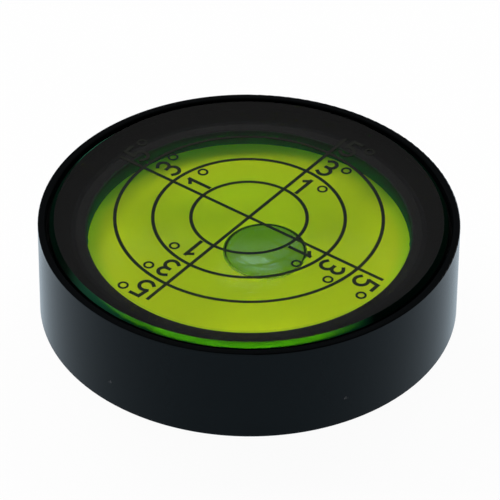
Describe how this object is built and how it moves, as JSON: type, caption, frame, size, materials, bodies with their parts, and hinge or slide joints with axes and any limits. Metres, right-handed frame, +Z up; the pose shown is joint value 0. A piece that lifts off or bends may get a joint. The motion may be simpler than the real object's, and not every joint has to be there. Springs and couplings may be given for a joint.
{
  "type": "circular bubble level",
  "caption": "Round bubble level: black turned case, clear domed lens with degree rings and a cross, and a bubble in green fluid that shows which way a surface tilts.",
  "frame": {"origin": "centre of the base face", "axes": "+Z up through the lens along the case's axis, +X to the right and +Y away from the viewer in the picture"},
  "size_m": [0.06, 0.06, 0.0154],
  "materials": {
    "anodised_aluminium": "turned and anodised black, satin",
    "adhesive_foam": "double sided adhesive foam",
    "black_plastic": "moulded black",
    "seal_rubber": "black rubber",
    "dial_plastic": "matte yellow-green",
    "green_spirit": "clear green tinted fluid",
    "bubble_air": "air in fluid",
    "clear_acrylic": "polished clear acrylic",
    "black_sealant": "cured black sealant",
    "black_ink": "printed black ink"
  },
  "bodies": {
    "case": {"housing": "anodised_aluminium", "bond_pad": "adhesive_foam", "vial_cup": "black_plastic", "fill_plug": "seal_rubber", "dial_disc": "dial_plastic", "lens_seal": "seal_rubber", "lens": "clear_acrylic", "edge_sealant": "black_sealant", "ring_1_degree": "black_ink", "ring_3_degree": "black_ink", "ring_5_degree": "black_ink", "cross_lines": "black_ink"},
    "fluid": {"spirit_fluid": "green_spirit"},
    "bubble": {"air_bubble": "bubble_air"}
  },
  "joints": [
    {"name": "bubble_bearing", "type": "hinge", "parent": "case", "child": "fluid", "pos_m": [0, 0, 0], "axis": [0, 0, 1], "continuous": true},
    {"name": "bubble_tilt", "type": "hinge", "parent": "fluid", "child": "bubble", "pos_m": [0, 0, -0.14186], "axis": [0.9205, 0.3907, 0], "range_deg": [-8.4, 4], "stiffness_Nm_per_rad": 0.002, "springref_deg": -2.2, "deforming": ["spirit_fluid"]}
  ]
}
